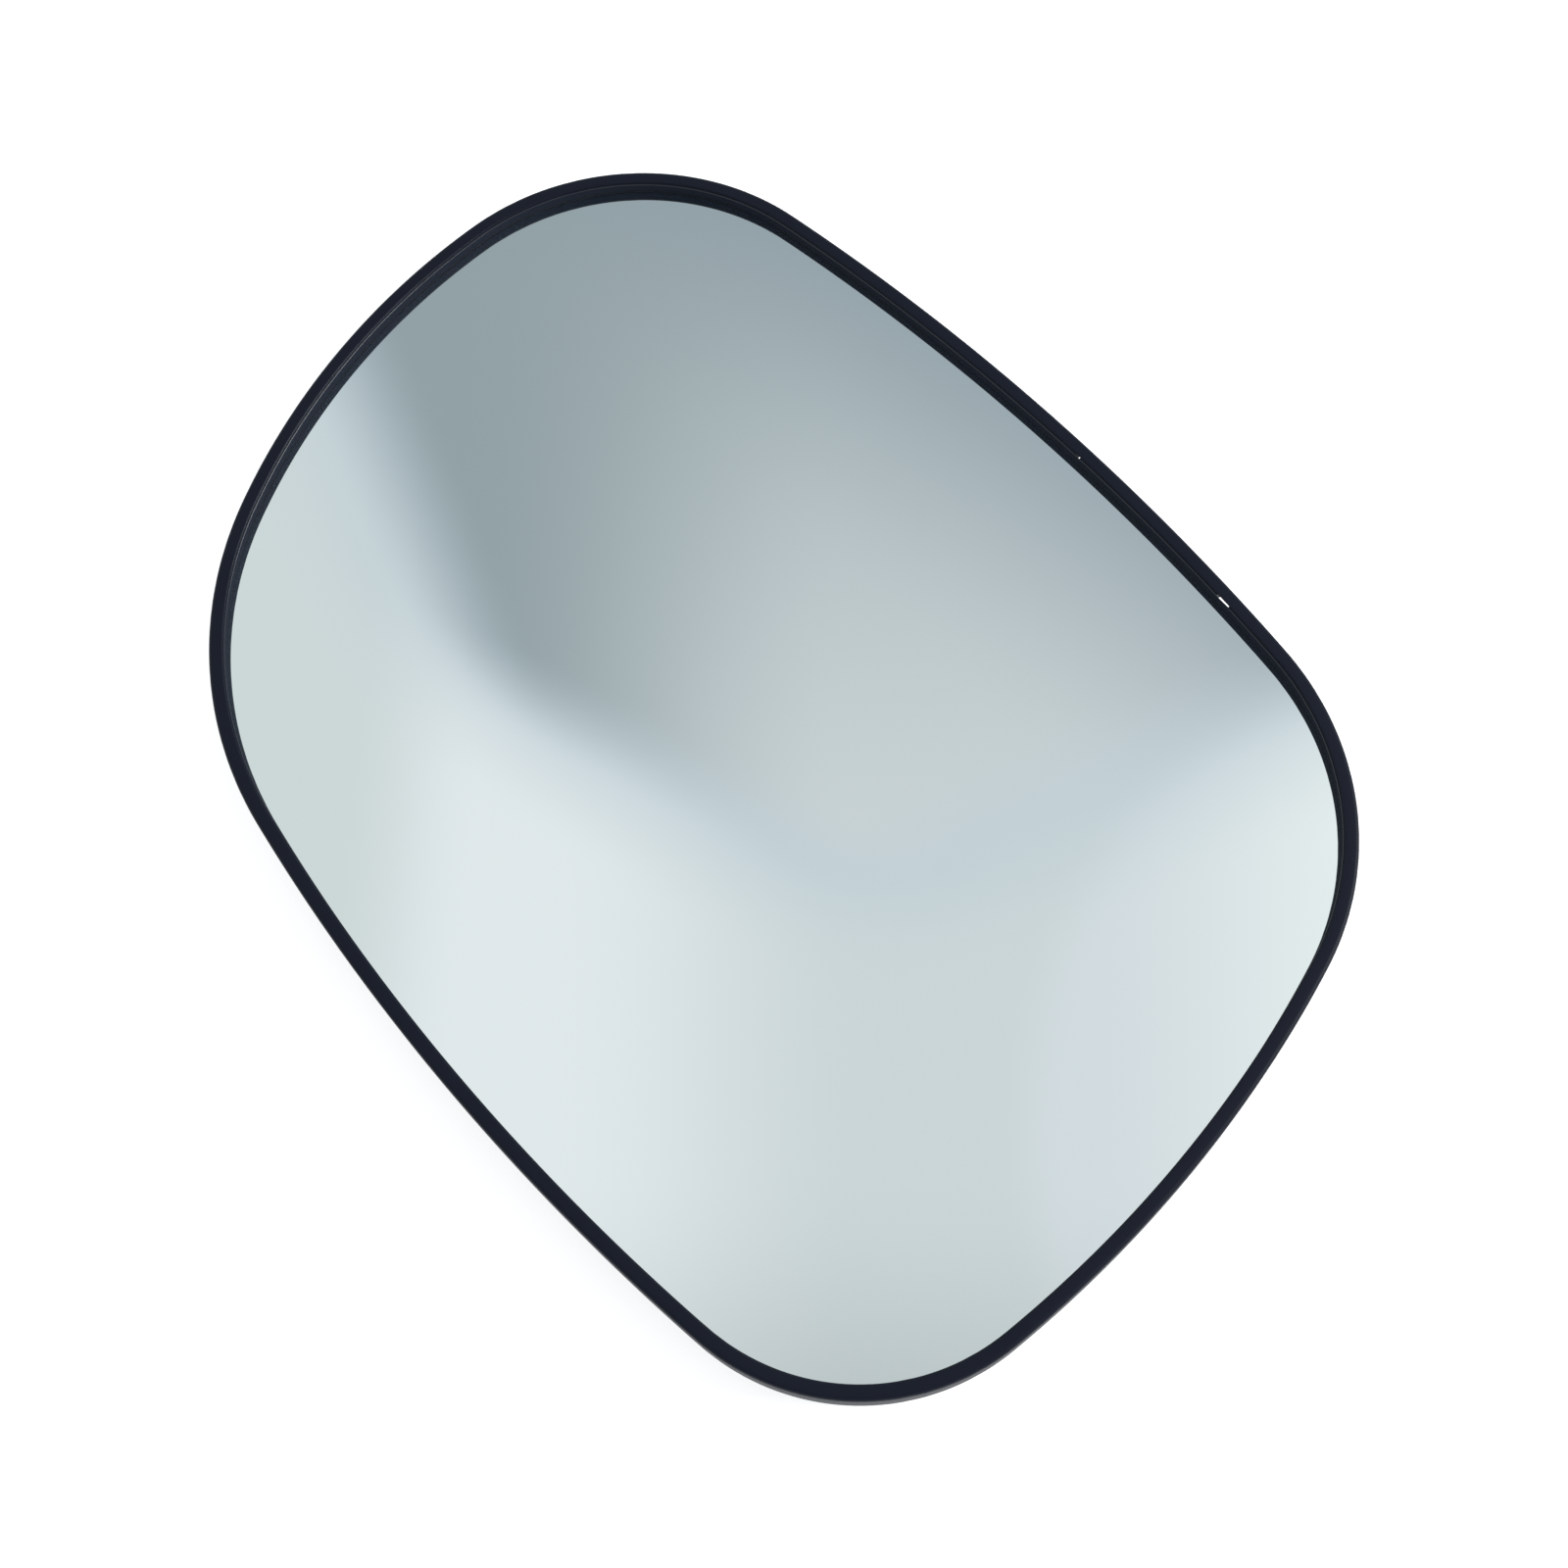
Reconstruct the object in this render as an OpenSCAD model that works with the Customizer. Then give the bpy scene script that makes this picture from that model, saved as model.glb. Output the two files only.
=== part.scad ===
// Convex door mirror glass for the passenger side of a car, bonded into its moulded clip-in holder.
// Millimetres. The part lies on its back: +Z points out of the glass, +X outboard, +Y up on the car.
// The origin is the middle of the stiffening ring's end face, the lowest plane of the holder.

/* [Outline] */
// Width over the rim
outline_w = 190; // [175:1:205]
// Height over the rim
outline_h = 137; // [128:1:146]
// Radius of the inboard side
inboard_r = 185; // [150:5:240]
// Height of the widest point of the inboard side above the middle
inboard_y = 25; // [18:1:30]
// Radius of the outboard side
outboard_r = 115; // [100:1:135]
// Drop of the widest point of the outboard side below the middle
outboard_drop = 24; // [16:1:28]
// Radius of the top edge
top_r = 340; // [280:5:450]
// Distance of the highest point of the top edge inboard of the middle
top_x = 17; // [8:1:24]
// Radius of the bottom edge
bottom_r = 445; // [350:5:600]
// Distance of the lowest point of the bottom edge inboard of the middle
bottom_x = 9; // [0:1:18]
// Radius of the upper inboard corner
corner_r_up_in = 34; // [28:0.5:40]
// Radius of the upper outboard corner
corner_r_up_out = 63; // [52:0.5:68]
// Radius of the lower outboard corner
corner_r_low_out = 39.5; // [32:0.5:48]
// Radius of the lower inboard corner
corner_r_low_in = 45.5; // [36:0.5:54]

/* [Glass and pad] */
// Radius that the convex glass is bent to
glass_r = 1400; // [1000:50:2000]
// Thickness of the glass
glass_t = 2; // [1.6:0.1:2.6]
// Gap between the glass edge and the rim wall
glass_gap = 0.25; // [0.15:0.05:0.4]
// Thickness of the foam pad that bonds the glass
pad_t = 0.8; // [0.5:0.1:1.2]
// Distance from the glass edge to the pad edge
pad_inset = 3; // [2:0.5:8]

/* [Rim] */
// Width of the rim from its outer side to the edge of its inner lip
rim_w = 2.38; // [2.2:0.02:2.8]
// Height of the rim face above the glass
rim_proud = 2.4; // [2.1:0.1:3]
// Thickness of the rim wall under the lip
rim_wall = 1.4; // [1.2:0.05:1.6]
// Width of the fine step between the rim face and the lip
step_w = 0.26; // [0.2:0.02:0.4]
// Height of that step
step_h = 0.48; // [0.3:0.02:0.6]
// Gap between the lip's underside and the glass
lip_gap = 0.12; // [0.08:0.02:0.3]
// Radius on the outer edge of the rim face
rim_round = 0.45; // [0.3:0.05:0.6]
// Inward lean of the rim's outer side from its face to the middle of the wall
rim_draft = 0.2; // [0:0.05:0.3]
// Inward sweep of the rim's outer side from its face to its foot
foot_sweep = 1.7; // [1.3:0.1:1.8]
// Width of the rim's foot
foot_w = 0.9; // [0.7:0.05:1.2]
// Height of the foot below the back of the plate
foot_h = 0.4; // [0.3:0.05:0.8]

/* [Drain slots] */
// Places of the drain slots along the bottom edge, outboard of the middle
drain_x = [-32.8, -0.4]; // [-45:0.1:25]
// Lengths of the drain slots
drain_len = [3.7, 2.2]; // [1.5:0.1:5]
// Depth of a drain slot behind the glass edge
drain_in = 0.9; // [0.8:0.1:1.2]

/* [Back of the plate] */
// Thickness of the dished plate
plate_t = 2; // [1.6:0.1:2.6]
// Height of the stiffening ring below the plate
ring_h = 9; // [8:0.5:12]
// Inner radius of the stiffening ring
ring_r = 33; // [31:0.5:36]
// Wall of the stiffening ring
ring_wall = 1.8; // [1.4:0.1:2.4]
// Inner radius of the snap claws, which grip the actuator plate
claw_r = 26; // [24:0.5:27.5]
// Thickness of a claw
claw_t = 1.8; // [1.4:0.1:2.2]
// Angle that one claw covers
claw_angle = 26; // [20:1:26]
// Distance of the claw tips above the ring's end face
claw_up = 1; // [0.5:0.25:2]
// Reach of a claw's hook towards the middle
hook_reach = 1.2; // [0.8:0.1:1.6]
// Height of a claw's hook
hook_h = 2.4; // [2:0.1:3]
// Number of claws
claw_count = 4; // [3:1:4]
// Radius of the pilot bore in the middle
pilot_r = 9; // [7:0.5:11]
// Wall of the collar round the pilot bore
collar_wall = 1.8; // [1.4:0.1:2.4]
// Height of the collar below the plate
collar_h = 7; // [5:0.5:7.5]
// Thickness of the ribs
rib_t = 1.4; // [1:0.1:2]
// Depth of the ribs outside the ring
rib_depth = 3; // [2:0.25:4]
// Depth of the cross ribs inside the ring
cross_depth = 1.5; // [1:0.25:2]
// Number of spokes
spoke_count = 8; // [4:4:12]
// Distance from the rim's outer side to the perimeter rib
perimeter_inset = 14; // [10:0.5:20]

/* [Smoothness] */
// Largest distance between the outline's arcs and their chords
chord_tol = 0.025; // [0.015:0.005:0.05]

/* [Hidden] */
round_fn = 180;
dome_fn = 3600;
overlap = 0.5;

glass_color = [0.78, 0.83, 0.84];
pad_color = [0.35, 0.36, 0.37];
holder_color = [0.09, 0.10, 0.13];

// Radii of the concentric spheres that the layers follow, from the front of the glass to the back of the plate
pad_front_r = glass_r - glass_t;
plate_front_r = pad_front_r - pad_t;
plate_back_r = plate_front_r - plate_t;
plate_mid_r = (plate_front_r + plate_back_r) / 2;
apex_z = ring_h + glass_r - plate_back_r;
dome_z = apex_z - glass_r;
reach = norm([outline_w, outline_h]) / 2;
high_z = apex_z + 4 * rim_proud;

// The four sides as [centre, radius], counterclockwise from the outboard side
outboard_side = [[outline_w / 2 - outboard_r, -outboard_drop], outboard_r];
top_side = [[-top_x, outline_h / 2 - top_r], top_r];
inboard_side = [[inboard_r - outline_w / 2, inboard_y], inboard_r];
bottom_side = [[-bottom_x, bottom_r - outline_h / 2], bottom_r];

// Centre of the corner arc of radius r that touches sides a and b from inside, a coming first counterclockwise
function corner_centre(a, b, r) =
    let (between = b[0] - a[0], far = norm(between), ra = a[1] - r, rb = b[1] - r,
         along = (ra * ra - rb * rb + far * far) / (2 * far), across = sqrt(ra * ra - along * along))
    a[0] + between * along / far + across * [-between.y, between.x] / far;
function corner(a, b, r) = [corner_centre(a, b, r), r];
function heading(from, to) = atan2(to.y - from.y, to.x - from.x);

// The outline as a closed chain of tangent arcs: side, corner, side, corner and so on
chain = [
    outboard_side, corner(outboard_side, top_side, corner_r_up_out),
    top_side, corner(top_side, inboard_side, corner_r_up_in),
    inboard_side, corner(inboard_side, bottom_side, corner_r_low_in),
    bottom_side, corner(bottom_side, outboard_side, corner_r_low_out)
];
// A side meets a corner on the line from the side's centre through the corner's
function start_angle(i) =
    let (here = chain[i], before = chain[(i + len(chain) - 1) % len(chain)])
    here[1] > before[1] ? heading(here[0], before[0]) : heading(before[0], here[0]);
function end_angle(i) =
    let (raw = start_angle((i + 1) % len(chain)), first = start_angle(i)) raw < first ? raw + 360 : raw;
function arc_steps(i) = ceil((end_angle(i) - start_angle(i)) / (2 * acos(1 - chord_tol / chain[i][1])));
// One station for each place round the outline, as [centre, radius, angle]
stations = [for (i = [0 : len(chain) - 1]) let (n = arc_steps(i), first = start_angle(i), last = end_angle(i))
    for (k = [0 : n - 1]) [chain[i][0], chain[i][1], first + (last - first) * k / n]];
function station_point(s, inset) = s[0] + (s[1] - inset) * [cos(s[2]), sin(s[2])];
function outline(inset) = [for (s = stations) station_point(s, inset)];

// Height of the glass front, or of the surface it would have, over a place
function glass_z(p) = dome_z + sqrt(glass_r * glass_r - p * p);

// Section of the holder's outside as [distance in from the outer side, height above the glass], from foot to lip.
// It begins below the whole part and ends inside the rim's opening, so that only the outside is shaped by it.
foot_z = -(glass_t + pad_t + plate_t + foot_h);
low_z = foot_z - 2 * ring_h;
foot_in = foot_sweep + foot_w;
face_in = rim_w - step_w;
lip_z = rim_proud - step_h;
outside_section = [
    [foot_in + overlap, low_z],
    [foot_in + overlap, foot_z],
    [foot_sweep, foot_z],
    [foot_sweep / 2, foot_z + foot_sweep * 2 / 3],
    [rim_draft + foot_sweep / 10, foot_z + foot_sweep * 4 / 3],
    [rim_draft, foot_z / 4],
    [0, rim_proud - rim_round * 4 / 3],
    [rim_round / 4, rim_proud - rim_round / 2],
    [rim_round, rim_proud],
    [face_in - step_w / 2, rim_proud],
    [face_in, rim_proud - step_h / 4],
    [face_in + step_w / 8, lip_z],
    [rim_w + overlap, lip_z - step_w / 4]
];
glass_inset = rim_wall + glass_gap;

// A dished layer between two of the concentric spheres
module layer(outer_r, inner_r) {
    translate([0, 0, dome_z]) rotate_extrude($fn = round_fn) intersection() {
        difference() {
            circle(outer_r, $fn = dome_fn);
            circle(inner_r, $fn = dome_fn);
        }
        translate([0, inner_r - ring_h * 2]) square([reach + overlap, outer_r - inner_r + ring_h * 2]);
    }
}

module outlined_layer(outer_r, inner_r, inset) {
    intersection() {
        layer(outer_r, inner_r);
        linear_extrude(high_z) polygon(outline(inset));
    }
}

// Everything inside the holder's outer surface: the section carried round the outline, with its height on the dish
module outside_form() {
    n = len(stations);
    m = len(outside_section);
    side_points = [for (s = stations, q = outside_section)
        let (p = station_point(s, q[0])) [p.x, p.y, glass_z(p) + q[1]]];
    side_faces = [for (i = [0 : n - 1], j = [0 : m - 2]) let (here = i * m + j, next = (i + 1) % n * m + j)
        each [[here, next, next + 1], [here, next + 1, here + 1]]];
    top_faces = [for (i = [0 : n - 1]) [i * m + m - 1, (i + 1) % n * m + m - 1, n * m]];
    low_faces = [for (i = [0 : n - 1]) [(i + 1) % n * m, i * m, n * m + 1]];
    ends = [[0, 0, apex_z + rim_proud], [0, 0, apex_z + low_z]];
    polyhedron(concat(side_points, ends), concat(side_faces, top_faces, low_faces));
}

// Dished plate and rim as a thick block with three pockets: the opening, the glass recess under the lip and the back
module dish_and_rim() {
    difference() {
        outlined_layer(glass_r + 2 * rim_proud, plate_back_r - 3 * foot_h, -overlap);
        outlined_layer(glass_r + 3 * rim_proud, glass_r, rim_w);
        outlined_layer(glass_r + lip_gap, plate_front_r, rim_wall);
        outlined_layer(plate_back_r, plate_back_r - ring_h, foot_in);
    }
}

// Ribs hang from inside the plate to a depth below its back
module rib_layer(depth) {
    intersection() {
        layer(plate_mid_r, plate_back_r - depth);
        linear_extrude(apex_z) children();
    }
}

module spokes_2d(inner_r) {
    for (i = [0 : spoke_count - 1]) rotate(i * 360 / spoke_count)
        translate([inner_r, -rib_t / 2]) square([reach, rib_t]);
}

module perimeter_rib_2d() {
    difference() {
        polygon(outline(perimeter_inset));
        polygon(outline(perimeter_inset + rib_t));
    }
}

module ribs() {
    rib_layer(rib_depth) {
        intersection() {
            spokes_2d(ring_r + ring_wall * 2 / 3);
            polygon(outline(perimeter_inset + rib_t / 2));
        }
        perimeter_rib_2d();
    }
    rib_layer(cross_depth) intersection() {
        spokes_2d(pilot_r + collar_wall / 2);
        circle(ring_r + ring_wall / 3, $fn = round_fn);
    }
}

// A round wall that stands on the plate's back
module round_wall(inner_r, wall, low_z) {
    intersection() {
        layer(plate_mid_r, plate_back_r - ring_h);
        translate([0, 0, low_z]) difference() {
            cylinder(h = apex_z, r = inner_r + wall, $fn = round_fn);
            translate([0, 0, -overlap]) cylinder(h = apex_z + 2 * overlap, r = inner_r, $fn = round_fn);
        }
    }
}

// Four flexible claws with hooks that face the middle
module claws() {
    claw_section = [
        [claw_r - hook_reach / 4, claw_up],
        [claw_r + claw_t * 2 / 3, claw_up],
        [claw_r + claw_t, claw_up + hook_h / 2],
        [claw_r + claw_t, ring_h + plate_t / 2],
        [claw_r, ring_h + plate_t / 2],
        [claw_r, claw_up + hook_h],
        [claw_r - hook_reach, claw_up + hook_h * 2 / 3],
        [claw_r - hook_reach, claw_up + hook_h / 2]
    ];
    for (i = [0 : claw_count - 1]) rotate((i + 0.5) * 360 / claw_count - claw_angle / 2)
        rotate_extrude(angle = claw_angle, $fn = round_fn) polygon(claw_section);
}

// A drain slot is a notch through the wall up to the glass front, and above it one through the lip up to the step
module drain_slots() {
    for (i = [0 : len(drain_x) - 1]) {
        edge_y = bottom_side[0].y - sqrt(pow(bottom_r, 2) - pow(drain_x[i] + bottom_x, 2));
        front = glass_z([drain_x[i], edge_y]);
        deep = glass_inset + drain_in;
        translate([drain_x[i] - drain_len[i] / 2, edge_y, 0]) {
            translate([0, -overlap, 0]) cube([drain_len[i], deep + overlap, front]);
            translate([0, rim_wall, 0]) cube([drain_len[i], deep - rim_wall, front + lip_z]);
        }
    }
}

// The silvered glass, a convex pane
module mirror_glass() {
    color(glass_color) outlined_layer(glass_r, pad_front_r, glass_inset);
}

// The double-sided foam pad between the glass and the plate
module adhesive_pad() {
    color(pad_color) outlined_layer(pad_front_r, plate_front_r, glass_inset + pad_inset);
}

// The moulded holder: dished plate, rim, ribs, ring, claws and collar in one piece
module backing_plate() {
    color(holder_color) intersection() {
        difference() {
            union() {
                dish_and_rim();
                ribs();
                round_wall(ring_r, ring_wall, 0);
                round_wall(pilot_r, collar_wall, ring_h - collar_h);
                claws();
            }
            translate([0, 0, -overlap]) cylinder(h = apex_z, r = pilot_r, $fn = round_fn);
            drain_slots();
        }
        outside_form();
    }
}

mirror_glass();
adhesive_pad();
backing_plate();
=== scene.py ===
from math import atan2, cos, hypot, pi, radians, sin, sqrt, tau

import bpy
from mathutils import Matrix, Vector


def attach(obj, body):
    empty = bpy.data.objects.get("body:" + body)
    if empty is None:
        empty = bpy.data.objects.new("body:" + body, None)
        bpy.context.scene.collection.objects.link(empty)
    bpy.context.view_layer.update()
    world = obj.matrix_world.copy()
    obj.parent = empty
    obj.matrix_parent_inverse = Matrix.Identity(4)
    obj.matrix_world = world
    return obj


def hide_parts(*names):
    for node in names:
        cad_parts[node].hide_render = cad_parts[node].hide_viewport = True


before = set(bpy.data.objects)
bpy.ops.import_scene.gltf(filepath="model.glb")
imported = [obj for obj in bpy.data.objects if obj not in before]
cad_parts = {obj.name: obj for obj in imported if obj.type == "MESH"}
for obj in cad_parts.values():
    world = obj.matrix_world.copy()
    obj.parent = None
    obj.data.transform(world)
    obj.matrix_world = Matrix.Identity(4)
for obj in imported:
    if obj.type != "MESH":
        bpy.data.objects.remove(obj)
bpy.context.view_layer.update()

# Moulded holder: the black polypropylene tray that the glass is bonded into, shot in one piece.
# Its skin is one section carried round the outline: rim with its lip, foot, dished plate, and on the back
# the perimeter rib, the stiffening ring and the collar round the pilot bore.
OUTLINE_W = 0.190
OUTLINE_H = 0.137
OUTBOARD_SIDE = ((OUTLINE_W / 2 - 0.115, -0.024), 0.115)
TOP_SIDE = ((-0.017, OUTLINE_H / 2 - 0.340), 0.340)
INBOARD_SIDE = ((0.185 - OUTLINE_W / 2, 0.025), 0.185)
BOTTOM_SIDE = ((-0.009, 0.445 - OUTLINE_H / 2), 0.445)
STATION_GAP = 0.00125


def corner(a, b, r):
    """Centre and radius of the corner arc that touches sides a and b from inside, b following a."""
    across = Vector(b[0]) - Vector(a[0])
    room_a, room_b = a[1] - r, b[1] - r
    along = (room_a ** 2 - room_b ** 2 + across.length_squared) / (2 * across.length)
    aside = sqrt(room_a ** 2 - along ** 2)
    way = across.normalized()
    return (tuple(Vector(a[0]) + along * way + aside * Vector((-way.y, way.x))), r)


ARCS = [
    OUTBOARD_SIDE, corner(OUTBOARD_SIDE, TOP_SIDE, 0.063),
    TOP_SIDE, corner(TOP_SIDE, INBOARD_SIDE, 0.034),
    INBOARD_SIDE, corner(INBOARD_SIDE, BOTTOM_SIDE, 0.0455),
    BOTTOM_SIDE, corner(BOTTOM_SIDE, OUTBOARD_SIDE, 0.0395),
]


def joint_angle(before, here):
    """Angle at which one arc of the chain passes into the next."""
    big, small = (here, before) if here[1] > before[1] else (before, here)
    return atan2(small[0][1] - big[0][1], small[0][0] - big[0][0])


# Stations are the places on the outline that each section is carried through, each with its way out
stations = []
for i, here in enumerate(ARCS):
    first = joint_angle(ARCS[i - 1], here)
    last = joint_angle(here, ARCS[(i + 1) % len(ARCS)])
    last += tau if last < first else 0
    steps = round((last - first) * here[1] / STATION_GAP)
    for k in range(steps):
        angle = first + (last - first) * k / steps
        out = Vector((cos(angle), sin(angle)))
        stations.append((Vector(here[0]) + here[1] * out, out))

# Names that end in _IN are distances inward from the outline
GLASS_R = 1.400
APEX_Z = 0.0138
GLASS_T = 0.002
PAD_T = 0.0008
PLATE_T = 0.002
PLATE_FRONT = -(GLASS_T + PAD_T)
PLATE_BACK = PLATE_FRONT - PLATE_T
RIB_DEPTH = 0.003
RIB_T = 0.0014
PERIMETER_IN = 0.014
RING_R = 0.033
RING_WALL = 0.0018
PILOT_R = 0.009
COLLAR_WALL = 0.0018
COLLAR_END = 0.002
FOOT_IN = 0.0026
FOOT_END = -0.0052
RIM_PROUD = 0.0024
RIM_WALL = 0.0014
RIM_W = 0.00238
LIP_Z = 0.00192
LIP_GAP = 0.00012
SEAT_IN = 0.0035
SEAT_LOOPS = 14
BACK_LOOPS = 8
BACK_IN = 0.0165
BACK_R = 0.0365


def dish(x, y):
    """Height of the front of the glass, or of the sphere it belongs to, over a place."""
    return APEX_Z - GLASS_R + sqrt(GLASS_R ** 2 - x * x - y * y)


def back_z(radius):
    """Height of the back of the plate at a distance from the middle."""
    return dish(radius, 0) + PLATE_BACK


def rounded(corners, steps=4):
    """A section with each (across, height, radius) corner turned into a short arc."""
    path = []
    for i, (x, z, r) in enumerate(corners):
        here = Vector((x, z))
        if r == 0 or i in (0, len(corners) - 1):
            path.append((x, z))
            continue
        back = Vector(corners[i - 1][:2]) - here
        ahead = Vector(corners[i + 1][:2]) - here
        r = min(r, 0.45 * back.length, 0.45 * ahead.length)
        start, end = here + r * back.normalized(), here + r * ahead.normalized()
        for k in range(steps + 1):
            t = k / steps
            point = (1 - t) ** 2 * start + 2 * t * (1 - t) * here + t * t * end
            path.append((point.x, point.y))
    return path


def at_inset(section):
    """Loops of a section given as (distance in from the outer side, height above the glass)."""
    return [("inset", across, height) for across, height in section]


def at_radius(section):
    """Loops of a section given as (distance from the middle, height above the floor)."""
    return [("radius", across, height) for across, height in section]


def between(inset, radius, height, count, inward=True):
    """Loops that pass from the outline's shape to a circle on one layer of the dish."""
    shares = [k / (count + 1) for k in range(1, count + 1)]
    return [("between", (inset, radius, s), height) for s in (shares if inward else shares[::-1])]


def loop_point(loop, station):
    """The place of one vertex: a loop's own distance and height at one station of the outline."""
    point, out = stations[station]
    kind, across, height = loop
    toward = point.normalized()
    if kind == "radius":
        return Vector((across * toward.x, across * toward.y, height))
    if kind == "inset":
        x, y = point - across * out
    else:
        inset, radius, share = across
        x, y = (point - inset * out).lerp(radius * toward, share)
    return Vector((x, y, dish(x, y) + height))


def select_loops(piece, levels):
    """In edit mode, selects only the loops that stand at the given whole heights."""
    bpy.ops.mesh.select_all(action="DESELECT")
    bpy.ops.object.mode_set(mode="OBJECT")
    level = [round(v.co.z) for v in piece.data.vertices]
    for v in piece.data.vertices:
        v.select = level[v.index] in levels
    for e in piece.data.edges:
        first, second = (level[i] for i in e.vertices)
        e.select = first == second and first in levels
    bpy.ops.object.mode_set(mode="EDIT")


def carry_round(name, loops, poles=None, skins=()):
    """Carries a section round the outline: a circle is extruded loop by loop, and each vertex then takes
    its place. The section closes on itself. With poles, the heights of two points in the middle, it closes
    on those. Skins gives the material slot of the band that starts at each loop, where it isn't the first."""
    bpy.ops.object.select_all(action="DESELECT")
    bpy.ops.mesh.primitive_circle_add(
        vertices=len(stations), radius=1, fill_type="NOTHING", location=(0, 0, 0))
    piece = bpy.context.object
    piece.name = piece.data.name = name
    bpy.ops.object.mode_set(mode="EDIT")
    bpy.ops.mesh.select_all(action="SELECT")
    for _ in loops[1:]:
        bpy.ops.mesh.extrude_edges_move(TRANSFORM_OT_translate={"value": (0, 0, 1)})
    if poles:
        bpy.ops.mesh.extrude_edges_move(TRANSFORM_OT_translate={"value": (0, 0, 1)})
        bpy.ops.mesh.merge(type="CENTER")
        select_loops(piece, [0])
        bpy.ops.mesh.extrude_edges_move(TRANSFORM_OT_translate={"value": (0, 0, -1)})
        bpy.ops.mesh.merge(type="CENTER")
    else:
        select_loops(piece, [0, len(loops) - 1])
        bpy.ops.mesh.bridge_edge_loops()
    bpy.ops.object.mode_set(mode="OBJECT")
    for _ in range(max(skins, default=0) + 1):
        piece.data.materials.append(None)
    for face in piece.data.polygons:
        levels = [round(piece.data.vertices[i].co.z) for i in face.vertices]
        first, last = max(0, min(levels)), max(levels)
        if last - first < 2 and first < len(skins):
            face.material_index = skins[first]
    for v in piece.data.vertices:
        if hypot(v.co.x, v.co.y) < 0.5:
            v.co = (0, 0, APEX_Z + poles[0 if v.co.z < 0 else 1])
            continue
        station = round(atan2(v.co.y, v.co.x) / tau * len(stations)) % len(stations)
        v.co = loop_point(loops[round(v.co.z)], station)
    return piece


def finish_surface(piece, angle=32):
    """Points the faces outward and smooths all but the sharp edges."""
    bpy.ops.object.select_all(action="DESELECT")
    bpy.context.view_layer.objects.active = piece
    piece.select_set(True)
    bpy.ops.object.mode_set(mode="EDIT")
    bpy.ops.mesh.select_all(action="SELECT")
    bpy.ops.mesh.remove_doubles(threshold=1e-7)
    bpy.ops.mesh.normals_make_consistent(inside=False)
    bpy.ops.object.mode_set(mode="OBJECT")
    bpy.ops.object.shade_smooth_by_angle(angle=radians(angle))


rim_section = rounded([
    (FOOT_IN, FOOT_END, 0), (0.0017, FOOT_END, 0.0001), (0.00085, -0.00407, 0.0004),
    (0.00037, -0.00293, 0.0004), (0.0002, -0.0013, 0.0004), (0, 0.0018, 0.0003), (0.00012, 0.00218, 0.00015),
    (0.00045, RIM_PROUD, 0.0002), (0.00212, RIM_PROUD, 0.00014), (0.00215, LIP_Z, 0.0001),
    (RIM_W, 0.0019, 0.00012), (RIM_W, LIP_GAP, 0.00015), (RIM_WALL, LIP_GAP, 0.00005),
    (RIM_WALL, PLATE_FRONT, 0.0001), (SEAT_IN, PLATE_FRONT, 0)])
collar_and_ring = rounded([
    (PILOT_R + 0.001, dish(PILOT_R, 0) + PLATE_FRONT, 0), (PILOT_R, dish(PILOT_R, 0) + PLATE_FRONT, 0.0003),
    (PILOT_R, COLLAR_END, 0.0003), (PILOT_R + COLLAR_WALL, COLLAR_END, 0.0003),
    (PILOT_R + COLLAR_WALL, back_z(PILOT_R + COLLAR_WALL), 0.0005),
    *((radius, back_z(radius), 0) for radius in (0.0125, 0.016, 0.021, 0.026, 0.031)),
    (RING_R, back_z(RING_R), 0.0006), (RING_R, 0, 0.0003), (RING_R + RING_WALL, 0, 0.0003),
    (RING_R + RING_WALL, back_z(RING_R + RING_WALL), 0.0006), (BACK_R, back_z(BACK_R), 0)])
perimeter_and_foot = rounded([
    (BACK_IN, PLATE_BACK, 0), (PERIMETER_IN + RIB_T, PLATE_BACK, 0.0004),
    (PERIMETER_IN + RIB_T, PLATE_BACK - RIB_DEPTH, 0.0003), (PERIMETER_IN, PLATE_BACK - RIB_DEPTH, 0.0003),
    (PERIMETER_IN, PLATE_BACK, 0.0004),
    *((inset, PLATE_BACK, 0) for inset in (0.011, 0.008, 0.005)),
    (FOOT_IN, PLATE_BACK, 0.0002), (FOOT_IN, FOOT_END + 0.0001, 0)])

# The lip's inner side keeps the mould's fine spark texture. Its upper edge is a glossier copy of the plastic
# with a lighter colour: the gloss gives a real highlight from the lamps, and the lighter colour is a painted
# highlight along the edge.
TEXTURED, HIGHLIGHT_EDGE = 1, 2
LIP_FACE_IN = RIM_W - 0.00013
LIP_EDGE = 0.0018
LIP_FACE_TOP = 0.002
rim_skins = []
for across, height in rim_section:
    inner_side = across > LIP_FACE_IN and 0 < height < LIP_FACE_TOP
    rim_skins.append(0 if not inner_side else HIGHLIGHT_EDGE if height > LIP_EDGE else TEXTURED)
holder = carry_round("moulded_holder", (
    at_inset(rim_section)
    + between(SEAT_IN, PILOT_R + 0.001, PLATE_FRONT, SEAT_LOOPS)
    + at_radius(collar_and_ring)
    + between(BACK_IN, BACK_R, PLATE_BACK, BACK_LOOPS, inward=False)
    + at_inset(perimeter_and_foot)), skins=rim_skins)
finish_surface(holder)

# Ribs: eight spokes from the ring to the perimeter rib and eight lower cross ribs inside the ring, moulded
# with the plate. They keep the thin tray from warping. Each is a bar on edge that follows the dish.
RIB_COUNT = 8
CROSS_DEPTH = 0.0015
CROSS_START = PILOT_R + COLLAR_WALL / 2
CROSS_END = RING_R + RING_WALL / 3
SPOKE_START = RING_R + RING_WALL * 2 / 3
RIB_TOP = PLATE_BACK + PLATE_T / 2
RIB_EDGE = 0.0002
RIB_CUTS = 10


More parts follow.
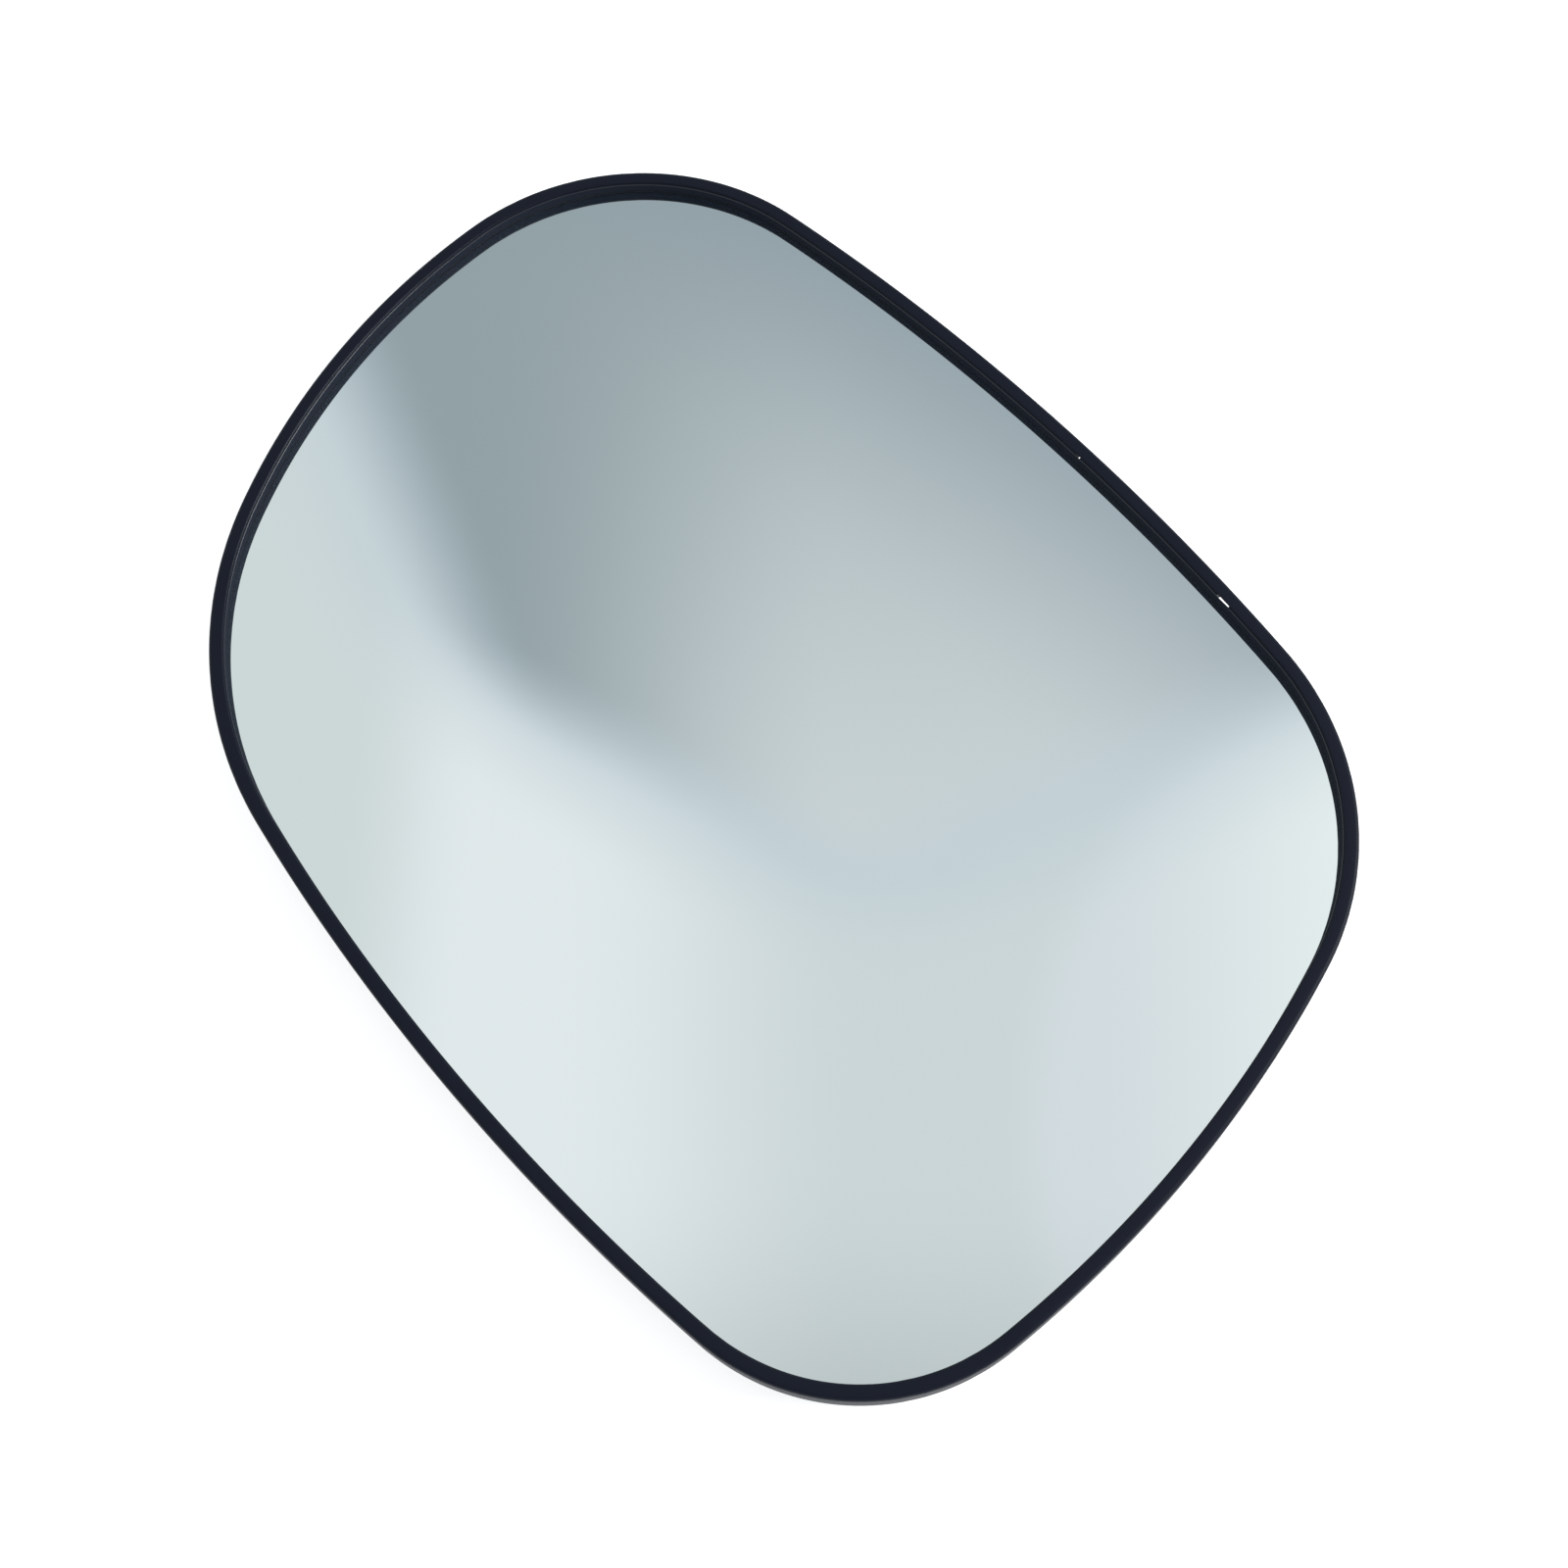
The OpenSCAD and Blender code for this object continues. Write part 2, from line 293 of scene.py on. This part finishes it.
def reach_at(angle, inset):
    """Distance from the middle to the outline, drawn in by inset, in one direction."""
    ring = [point - inset * out for point, out in stations]
    return min(ring, key=lambda p: abs((atan2(p.y, p.x) - angle + pi) % tau - pi)).length


def turn(piece, angle):
    """Turns a piece round the middle of the part and applies its place to its mesh."""
    bpy.ops.object.select_all(action="DESELECT")
    bpy.context.view_layer.objects.active = piece
    piece.select_set(True)
    bpy.ops.transform.rotate(value=-angle, orient_axis="Z", center_override=(0, 0, 0))
    bpy.ops.object.transform_apply(location=True, rotation=True, scale=True)


def copied_round(piece, count):
    """The piece and its copies, evenly spaced round the middle."""
    pieces = [piece]
    for k in range(1, count):
        bpy.ops.object.select_all(action="DESELECT")
        bpy.context.view_layer.objects.active = piece
        piece.select_set(True)
        bpy.ops.object.duplicate(linked=False)
        pieces.append(bpy.context.object)
        turn(pieces[-1], k * tau / count)
    return pieces


def bevel(piece, width, angle=30):
    """Breaks the sharp edges of a piece."""
    edge = piece.modifiers.new("edge", "BEVEL")
    edge.width, edge.segments = width, 2
    edge.limit_method, edge.angle_limit = "ANGLE", radians(angle)
    bpy.ops.object.modifier_apply(modifier=edge.name)


def rib(name, start, end, depth):
    """A flat rib that stands on its edge along X from start to end and follows the dish."""
    bpy.ops.object.select_all(action="DESELECT")
    bpy.ops.mesh.primitive_cube_add(size=1, location=((start + end) / 2, 0, 0), scale=(end - start, RIB_T, 1))
    piece = bpy.context.object
    piece.name = piece.data.name = name
    bpy.ops.object.transform_apply(location=True, rotation=False, scale=True)
    bpy.ops.object.mode_set(mode="EDIT")
    bpy.ops.mesh.select_all(action="DESELECT")
    bpy.ops.object.mode_set(mode="OBJECT")
    for e in piece.data.edges:
        a, b = (piece.data.vertices[i].co for i in e.vertices)
        e.select = abs(a.x - b.x) > RIB_T
    bpy.ops.object.mode_set(mode="EDIT")
    bpy.ops.mesh.subdivide(number_cuts=RIB_CUTS)
    bpy.ops.object.mode_set(mode="OBJECT")
    for v in piece.data.vertices:
        v.co.z = dish(v.co.x, 0) + (RIB_TOP if v.co.z > 0 else depth)
    bevel(piece, RIB_EDGE)
    return piece


def joined(pieces):
    """The pieces as one."""
    bpy.ops.object.select_all(action="DESELECT")
    for piece in pieces:
        piece.select_set(True)
    bpy.context.view_layer.objects.active = pieces[0]
    bpy.ops.object.join()
    return bpy.context.object


def combine(base, tool, operation):
    """Unites a tool piece with the base, or cuts it away, and removes the tool."""
    bpy.ops.object.select_all(action="DESELECT")
    bpy.context.view_layer.objects.active = base
    base.select_set(True)
    made = base.modifiers.new(operation, "BOOLEAN")
    made.object, made.operation, made.solver = tool, operation, "MANIFOLD"
    bpy.ops.object.modifier_apply(modifier=made.name)
    bpy.data.objects.remove(tool)


cross_rib = rib("cross_rib", CROSS_START, CROSS_END, PLATE_BACK - CROSS_DEPTH)
ribs = copied_round(cross_rib, RIB_COUNT)
for k in range(RIB_COUNT):
    angle = k * tau / RIB_COUNT
    far_end = reach_at(angle, PERIMETER_IN + RIB_T / 2)
    ribs.append(rib("spoke", SPOKE_START, far_end, PLATE_BACK - RIB_DEPTH))
    turn(ribs[-1], angle)
combine(holder, joined(ribs), "UNION")

# Ejector marks: the shallow round prints that the mould's eight pins leave on the back of the plate, between
# the spokes, when they push the warm tray out.
PIN_COUNT = 8
PIN_SIDES = 32
PIN_R = 0.002
PIN_FROM_MIDDLE = 0.045
PIN_DEEP = 0.0002
PIN_LENGTH = 0.004
bpy.ops.object.select_all(action="DESELECT")
bpy.ops.mesh.primitive_cylinder_add(
    vertices=PIN_SIDES, radius=PIN_R, depth=PIN_LENGTH,
    location=(PIN_FROM_MIDDLE, 0, back_z(PIN_FROM_MIDDLE) + PIN_DEEP - PIN_LENGTH / 2))
pin = bpy.context.object
turn(pin, tau / PIN_COUNT / 2)
combine(holder, joined(copied_round(pin, PIN_COUNT)), "DIFFERENCE")

# Snap claws: four short curved walls inside the ring, moulded with it, with hooks that face the middle.
# They spring over the ring of the mirror's adjusting motor and hold the glass on the car.
CLAW_SECTION = [(0.0257, 0.001), (0.0272, 0.001), (0.0278, 0.0022), (0.0278, 0.010), (0.026, 0.010),
                (0.026, 0.0034), (0.0248, 0.0026), (0.0248, 0.0022)]
CLAW_COUNT = 4
CLAW_ANGLE = radians(26)
CLAW_STEPS = 12
CLAW_EDGE = 0.00015
bpy.ops.object.select_all(action="DESELECT")
bpy.ops.mesh.primitive_circle_add(vertices=len(CLAW_SECTION), radius=1, fill_type="NGON", location=(0, 0, 0))
claw = bpy.context.object
claw.name = claw.data.name = "snap_claw"
for v, (x, z) in zip(claw.data.vertices, CLAW_SECTION):
    v.co = (x, 0, z)
bpy.ops.object.mode_set(mode="EDIT")
bpy.ops.mesh.select_all(action="SELECT")
bpy.ops.mesh.spin(steps=CLAW_STEPS, angle=CLAW_ANGLE, center=(0, 0, 0), axis=(0, 0, 1))
bpy.ops.mesh.select_all(action="SELECT")
bpy.ops.mesh.normals_make_consistent(inside=False)
bpy.ops.object.mode_set(mode="OBJECT")
bevel(claw, CLAW_EDGE, 28)
turn(claw, tau / CLAW_COUNT / 2 - CLAW_ANGLE / 2)
combine(holder, joined(copied_round(claw, CLAW_COUNT)), "UNION")

# Drain slots: two openings at the lower edge that let water out from behind the lip. Each is moulded as a
# notch through the rim's wall up to the glass, and a slot up through the lip's step that leaves a tongue.
# A place is a middle and a length along the edge, and a cut a start, an end and a top over the glass.
WALL_NOTCHES = ((-0.0328, 0.0037), (-0.0004, 0.0022))
WALL_NOTCH = (-0.0005, 0.00255, 0)
LIP_SLOTS = ((-0.0332, 0.0026), (-0.00095, 0.0009))
LIP_SLOT = (0.0010, 0.00231, 0.0022)
for places, (start, end, top) in ((WALL_NOTCHES, WALL_NOTCH), (LIP_SLOTS, LIP_SLOT)):
    for x, length in places:
        (centre_x, centre_y), radius = BOTTOM_SIDE
        edge_y = centre_y - sqrt(radius ** 2 - (x - centre_x) ** 2)
        height = dish(x, edge_y) + top
        bpy.ops.object.select_all(action="DESELECT")
        bpy.ops.mesh.primitive_cube_add(size=1, location=(x, edge_y + (start + end) / 2, height / 2),
                                        scale=(length, end - start, height))
        combine(holder, bpy.context.object, "DIFFERENCE")
finish_surface(holder)


# The holder's plastic: polypropylene coloured black, with a blue cast. As it leaves the mould it has a fine
# grain, faint flow marks and a few grazed spots. Its lip differs, inside and along the edge.
class Socket:
    """A shader socket that takes part in Python expressions. Each expression adds nodes to the same tree."""

    def __init__(self, tree, socket=None):
        self.tree, self.socket = tree, socket

    def node(self, kind, settings, inputs, out=0):
        """Adds a node: first its settings, then the values or links of its sockets."""
        made = self.tree.nodes.new(kind)
        for name, value in settings.items():
            setattr(made, name, value)
        for key, value in inputs.items():
            socket = made.inputs[key]
            if isinstance(value, Socket):
                self.tree.links.new(value.socket, socket)
            else:
                socket.default_value = (*value, 1) if socket.type == "RGBA" else value
        return Socket(self.tree, made.outputs[out] if made.outputs else None)

    def math(self, operation, first, second):
        return self.node("ShaderNodeMath", {"operation": operation}, {0: first, 1: second})

    def __add__(self, other):
        return self.math("ADD", self, other)

    def __sub__(self, other):
        return self.math("SUBTRACT", self, other)

    def __rsub__(self, other):
        return self.math("SUBTRACT", other, self)

    def __mul__(self, other):
        return self.math("MULTIPLY", self, other)

    __radd__, __rmul__ = __add__, __mul__


def mix(factor, first, second):
    """Mixes two colours. On this node they are sockets 6 and 7, and their mix comes out of socket 2."""
    return factor.node("ShaderNodeMix", {"data_type": "RGBA"}, {0: factor, 6: first, 7: second}, out=2)


def step(value, edge, width):
    """0 below the edge and 1 above it, with a soft passage of the given width."""
    return value.node("ShaderNodeMapRange", {"interpolation_type": "SMOOTHSTEP"},
                      {0: value, 1: edge - width / 2, 2: edge + width / 2, 3: 0.0, 4: 1.0})


def noise(place, scale, detail=2.0):
    """Soft random marks of a size of about 1 / scale metres."""
    return place.node("ShaderNodeTexNoise", {}, {"Vector": place, "Scale": scale, "Detail": detail})


def new_material(name):
    """An empty material, and the place on the object that its patterns follow."""
    material = bpy.data.materials.new(name)
    material.use_nodes = True
    material.node_tree.nodes.clear()
    return material, Socket(material.node_tree).node("ShaderNodeTexCoord", {}, {}, out="Object")


def give_surface(place, **values):
    """The surface that the material shows, from the values of its shader."""
    inputs = {name.replace("_", " "): value for name, value in values.items()}
    surface = place.node("ShaderNodeBsdfPrincipled", {}, inputs)
    place.node("ShaderNodeOutputMaterial", {}, {"Surface": surface})


FLOW_SCALE = 60.0
GRAZE_SCALE = 900.0
GRAIN_SCALE = 5200.0
GRAIN_DEEP = 0.00002


def moulded_plastic(name, dark, light, roughness, gloss, grain_height):
    """Black polypropylene as it leaves one part of the mould."""
    material, place = new_material(name)
    flow = noise(place, FLOW_SCALE)
    grazed = step(noise(place, GRAZE_SCALE, 4.0), 0.66, 0.1)
    grain = noise(place, GRAIN_SCALE, 3.0)
    relief = place.node("ShaderNodeBump", {}, {
        "Strength": grain_height, "Distance": GRAIN_DEEP, "Height": grain + 0.4 * flow})
    give_surface(place, Base_Color=mix(flow, dark, light), Roughness=roughness + 0.08 * flow + 0.07 * grazed,
                 Specular_IOR_Level=gloss, IOR=1.49, Normal=relief)
    return material


holder.data.materials[0] = moulded_plastic(
    "black_polypropylene", (0.0052, 0.0072, 0.0150), (0.0068, 0.0092, 0.0190), 0.42, 0.13, 0.16)
holder.data.materials[TEXTURED] = moulded_plastic(
    "textured_polypropylene", (0.0120, 0.0158, 0.0260), (0.0145, 0.0192, 0.0310), 0.72, 0.06, 0.05)
# Upper edge of the lip: lower roughness and more gloss, and a lighter base colour that is a painted highlight
holder.data.materials[HIGHLIGHT_EDGE] = moulded_plastic(
    "glossy_painted_highlight_polypropylene", (0.0085, 0.0100, 0.0180), (0.0110, 0.0125, 0.0220), 0.26, 0.60, 0.05)
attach(holder, "root")
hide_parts("backing_plate")

# Foam pad: double-sided tape of closed-cell polyethylene foam that bonds the glass to the plate, die-cut to
# the glass. It is squeezed a little between the two, so that its edge swells.
PAD_IN = 0.00465
PAD_LOOPS = 14
POLE_R = 0.004
EDGE_DRAW = 0.00012
CELL_SCALE = 2600.0
pad_edge = []
for share in (0, 0.1, 0.3, 0.5, 0.7, 0.9, 1):
    pad_edge.append((PAD_IN + EDGE_DRAW * abs(2 * share - 1) ** 3, PLATE_FRONT + PAD_T * share))
pad = carry_round("foam_pad", (
    between(PAD_IN + 2 * EDGE_DRAW, POLE_R, PLATE_FRONT, PAD_LOOPS, inward=False)
    + at_inset(pad_edge)
    + between(PAD_IN + 2 * EDGE_DRAW, POLE_R, -GLASS_T, PAD_LOOPS)), poles=(PLATE_FRONT, -GLASS_T))
finish_surface(pad, 50)

pad.data.materials[0], place = new_material("closed_cell_foam")
cells = place.node("ShaderNodeTexVoronoi", {}, {"Vector": place, "Scale": CELL_SCALE})
relief = place.node("ShaderNodeBump", {}, {"Strength": 0.5, "Distance": 0.0001, "Height": cells})
give_surface(place, Base_Color=mix(cells, (0.030, 0.031, 0.033), (0.055, 0.056, 0.058)),
             Roughness=0.85 + 0.1 * cells, Normal=relief)
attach(pad, "root")
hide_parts("adhesive_pad")

# Pane: 2 mm float glass, bent while hot, silvered and painted behind, with its edge ground to two bevels.
# It lies on the foam pad with its edge under the lip. Seen from above it is all mirror with a faint green
# cast, apart from the bare margin under the lip, where the silver is taken off against rust.
GLASS_IN = 0.00165
GROUND = 0.00028
MARGIN_IN = 0.00242
PANE_LOOPS = 24
GROUND_EDGE, PAINTED_BACK, MARGIN = 1, 2, 3
glass_edge = [
    (MARGIN_IN, -GLASS_T), (GLASS_IN + GROUND, -GLASS_T), (GLASS_IN, -GLASS_T + GROUND),
    (GLASS_IN, -GROUND), (GLASS_IN + GROUND, 0), (MARGIN_IN, 0)]
pane = carry_round("mirror_pane", (
    between(MARGIN_IN, POLE_R, -GLASS_T, PANE_LOOPS, inward=False)
    + at_inset(glass_edge)
    + between(MARGIN_IN, POLE_R, 0, PANE_LOOPS)), poles=(-GLASS_T, 0),
    skins=[PAINTED_BACK] * (PANE_LOOPS + 1) + [GROUND_EDGE] * 3 + [MARGIN])
finish_surface(pane, 25)

pane.data.materials[0], place = new_material("silvered_glass")
haze = step(noise(place, 30.0, 3.0), 0.62, 0.3)
give_surface(place, Base_Color=(0.90, 0.95, 0.94), Metallic=1.0, Roughness=0.012 + 0.02 * haze)
pane.data.materials[GROUND_EDGE], place = new_material("ground_glass_edge")
frost = noise(place, 3000.0, 3.0)
give_surface(place, Base_Color=mix(frost, (0.10, 0.17, 0.16), (0.18, 0.27, 0.25)),
             Roughness=0.35 + 0.25 * frost)
pane.data.materials[PAINTED_BACK], place = new_material("backing_paint")
mottle = noise(place, 700.0, 3.0)
give_surface(place, Base_Color=mix(mottle, (0.09, 0.09, 0.095), (0.13, 0.13, 0.135)),
             Roughness=0.55 + 0.1 * mottle)
pane.data.materials[MARGIN], place = new_material("bare_margin")
mottle = noise(place, 900.0, 3.0)
give_surface(place, Base_Color=mix(mottle, (0.030, 0.035, 0.044), (0.038, 0.043, 0.053)),
             Roughness=0.5 + 0.1 * mottle)
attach(pane, "root")
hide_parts("mirror_glass")

# Table: a sheet of pale paper that the part lies on. Seen directly and in the glass it is white, with the
# part's own soft shadow on it.
TABLE_SIDE = 8
PAPER_GLOW = 0.68
bpy.ops.object.select_all(action="DESELECT")
bpy.ops.mesh.primitive_grid_add(x_subdivisions=4, y_subdivisions=4, size=TABLE_SIDE, location=(0, 0, 0))
table = bpy.context.object
table.name = "paper_table"
paper, place = new_material("pale_paper")
table.data.materials.append(paper)
tooth = noise(place, 40.0)
matt = place.node("ShaderNodeBsdfDiffuse", {}, {"Color": mix(tooth, (0.80, 0.80, 0.80), (0.84, 0.84, 0.84))})
glow = place.node("ShaderNodeEmission", {}, {"Color": (1.0, 1.0, 1.0), "Strength": PAPER_GLOW})
lit = place.node("ShaderNodeAddShader", {}, {0: matt, 1: glow})
seen = place.node("ShaderNodeLightPath", {}, {}, out="Is Camera Ray")
mirrored = place.node("ShaderNodeLightPath", {}, {}, out="Is Glossy Ray")
shown = place.node("ShaderNodeMixShader", {}, {0: seen.math("MAXIMUM", seen, mirrored), 1: matt, 2: lit})
place.node("ShaderNodeOutputMaterial", {}, {"Surface": shown})

# Tent: the studio round the part, of white cloth walls in broad soft panels, with the grey hood of the
# camera above. The glass looks up into it and shows where one panel passes into the next. The two axes are
# the ways in which the view's right and down go in the reflection. A seam is its place and its width.
RIGHTWARD = (-0.657, -0.753, 0.027)
DOWNWARD = (-0.693, 0.618, 0.373)
SIDE_GREY = (0.67, 0.715, 0.73)
BRIGHT = (0.825, 0.85, 0.875)
MIDDLE = (0.66, 0.705, 0.725)
PANEL_NEAR = (0.71, 0.75, 0.79)
PANEL_FAR = (0.875, 0.91, 0.915)
SHADE = (0.40, 0.43, 0.45)
HOOD_DARK = (0.32, 0.375, 0.405)
HOOD_LIGHT = (0.645, 0.685, 0.71)
HOOD_BLUE = (0.25, 0.31, 0.37)
BLUE_HAZE = (0.565, 0.64, 0.705)
LOW_GREY = (0.50, 0.54, 0.56)
LOW_WHITE = (0.88, 0.91, 0.925)
SIDE_SEAM = (-0.20, 0.075)
SIDE_SLANT = 0.09
MIDDLE_SEAM = (-0.04, 0.18)
FAR_SEAM = (0.25, 0.18)
ROUND_PANEL = (0.45, 0.19)
ROUND_SEAM = (0.10, 0.025)
SHADE_SEAM = (0.34, 0.26)
HOOD_LIGHT_ACROSS = (-0.07, 0.21)
HOOD_LIGHT_BELOW = (-0.20, 0.56)
HOOD_BLUE_SEAM = (-0.24, 0.28)
DIAGONAL = 0.7
HOOD_EDGES = ((0.94, -0.34, -0.13, 0.063), (0.49, -0.87, -0.0215, 0.052), (-0.47, -0.88, -0.067, 0.072))
EDGE_HAZE = 0.05
LOW_SEAM = (0.25, 0.5)
HIGH_SEAM = (0.60, 0.20)
world = bpy.data.worlds.new("studio_tent")
bpy.context.scene.world = world
world.use_nodes = True
world.node_tree.nodes.clear()
direction = Socket(world.node_tree).node("ShaderNodeTexCoord", {}, {}, out=0)


def along(axis):
    """How far a direction points along an axis."""
    settings = {"operation": "DOT_PRODUCT"}
    return direction.node("ShaderNodeVectorMath", settings, {0: direction, 1: axis}, out="Value")


across, below, rise = along(RIGHTWARD), along(DOWNWARD), along((0, 0, 1))
wall = mix(step(across + SIDE_SLANT * below, *SIDE_SEAM), SIDE_GREY, BRIGHT)
wall = mix(step(across, *MIDDLE_SEAM), wall, MIDDLE)
panel = mix(step(across, *FAR_SEAM), PANEL_NEAR, PANEL_FAR)
from_right = across - ROUND_PANEL[0]
from_low = below - ROUND_PANEL[1]
wall = mix(step(from_right * from_right + from_low * from_low, *ROUND_SEAM), panel, wall)
wall = mix(step(below, *SHADE_SEAM), wall, SHADE)
hood = mix(step(across, *HOOD_LIGHT_ACROSS) * step(below, *HOOD_LIGHT_BELOW), HOOD_DARK, HOOD_LIGHT)
hood = mix(step(DIAGONAL * below - DIAGONAL * across, *HOOD_BLUE_SEAM), HOOD_BLUE, hood)
inside = haze = 1.0
for right_share, down_share, edge, width in HOOD_EDGES:
    toward = right_share * across + down_share * below
    inside = inside * step(toward, edge, width)
    haze = haze * step(toward, edge - EDGE_HAZE / 2, width + EDGE_HAZE)
above = mix(inside, mix(haze, wall, BLUE_HAZE), hood)
low_wall = mix(step(rise, *LOW_SEAM), LOW_GREY, LOW_WHITE)
cloth = mix(step(rise, *HIGH_SEAM), low_wall, above)
panels = direction.node("ShaderNodeBackground", {}, {"Color": cloth, "Strength": 1.0})
white = direction.node("ShaderNodeBackground", {}, {"Color": (1.0, 1.0, 1.0), "Strength": 1.0})
seen = direction.node("ShaderNodeLightPath", {}, {}, out="Is Camera Ray")
shown = direction.node("ShaderNodeMixShader", {}, {0: seen, 1: panels, 2: white})
direction.node("ShaderNodeOutputWorld", {}, {"Surface": shown})

# Softbox: a large square lamp off to the right of the view, 1.7 m from the part and turned to it.
# It gives the rim its highlight and the part its shadow.
SOFTBOX_AT = Vector((-0.9, -1.1, 0.9))
SOFTBOX_SIDE = 1.0
SOFTBOX_WATTS = 22
bpy.ops.object.light_add(type="AREA", location=SOFTBOX_AT)
softbox = bpy.context.object
softbox.name = "softbox"
softbox.data.size = SOFTBOX_SIDE
softbox.data.energy = SOFTBOX_WATTS
softbox.rotation_euler = (-SOFTBOX_AT).to_track_quat("-Z", "Y").to_euler()

# Camera: a long lens above the upper inboard corner, looking down on the glass at the photograph's angle.
# It is turned a little about its own line of sight, as it was held.
VIEW_FROM = Vector((-0.14305, 0.09903, 0.39922))
VIEW_TO = Vector((-0.01208, 0.00278, 0.0138))
VIEW_ROLL = radians(-4.9)
LENS_MM = 65.7
SENSOR_MM = 36
NEAREST = 0.01
bpy.ops.object.camera_add(location=VIEW_FROM)
camera = bpy.context.object
aim = (VIEW_TO - VIEW_FROM).to_track_quat("-Z", "Y").to_matrix().to_4x4()
camera.matrix_world = Matrix.Translation(VIEW_FROM) @ aim @ Matrix.Rotation(VIEW_ROLL, 4, "Z")
camera.data.lens = LENS_MM
camera.data.sensor_width = SENSOR_MM
camera.data.clip_start = NEAREST
bpy.context.scene.camera = camera
bpy.context.scene.view_settings.view_transform = "Standard"
